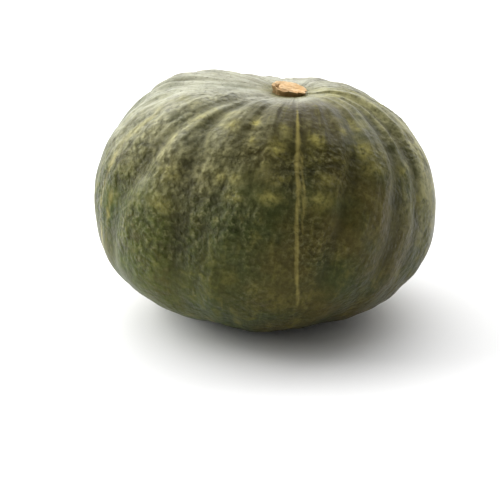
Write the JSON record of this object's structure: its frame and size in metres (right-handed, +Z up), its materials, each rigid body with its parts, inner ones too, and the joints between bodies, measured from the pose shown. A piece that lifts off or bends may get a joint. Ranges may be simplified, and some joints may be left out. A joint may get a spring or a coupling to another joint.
{
  "type": "pumpkin",
  "caption": "Whole dark-green kabocha-type pumpkin with ribbed, slightly warty rind and a short cut corky stem",
  "frame": {"origin": "centre of the fruit's footprint, on the surface it rests on", "axes": "+Z up through the stem, -Y towards the front of the fruit, +X to the front view's right"},
  "size_m": [0.1788, 0.1746, 0.123],
  "materials": {
    "rind": "satin",
    "stem": "matte"
  },
  "bodies": {
    "root": {"fruit_body": "rind", "stem_stub": "stem"}
  },
  "joints": []
}
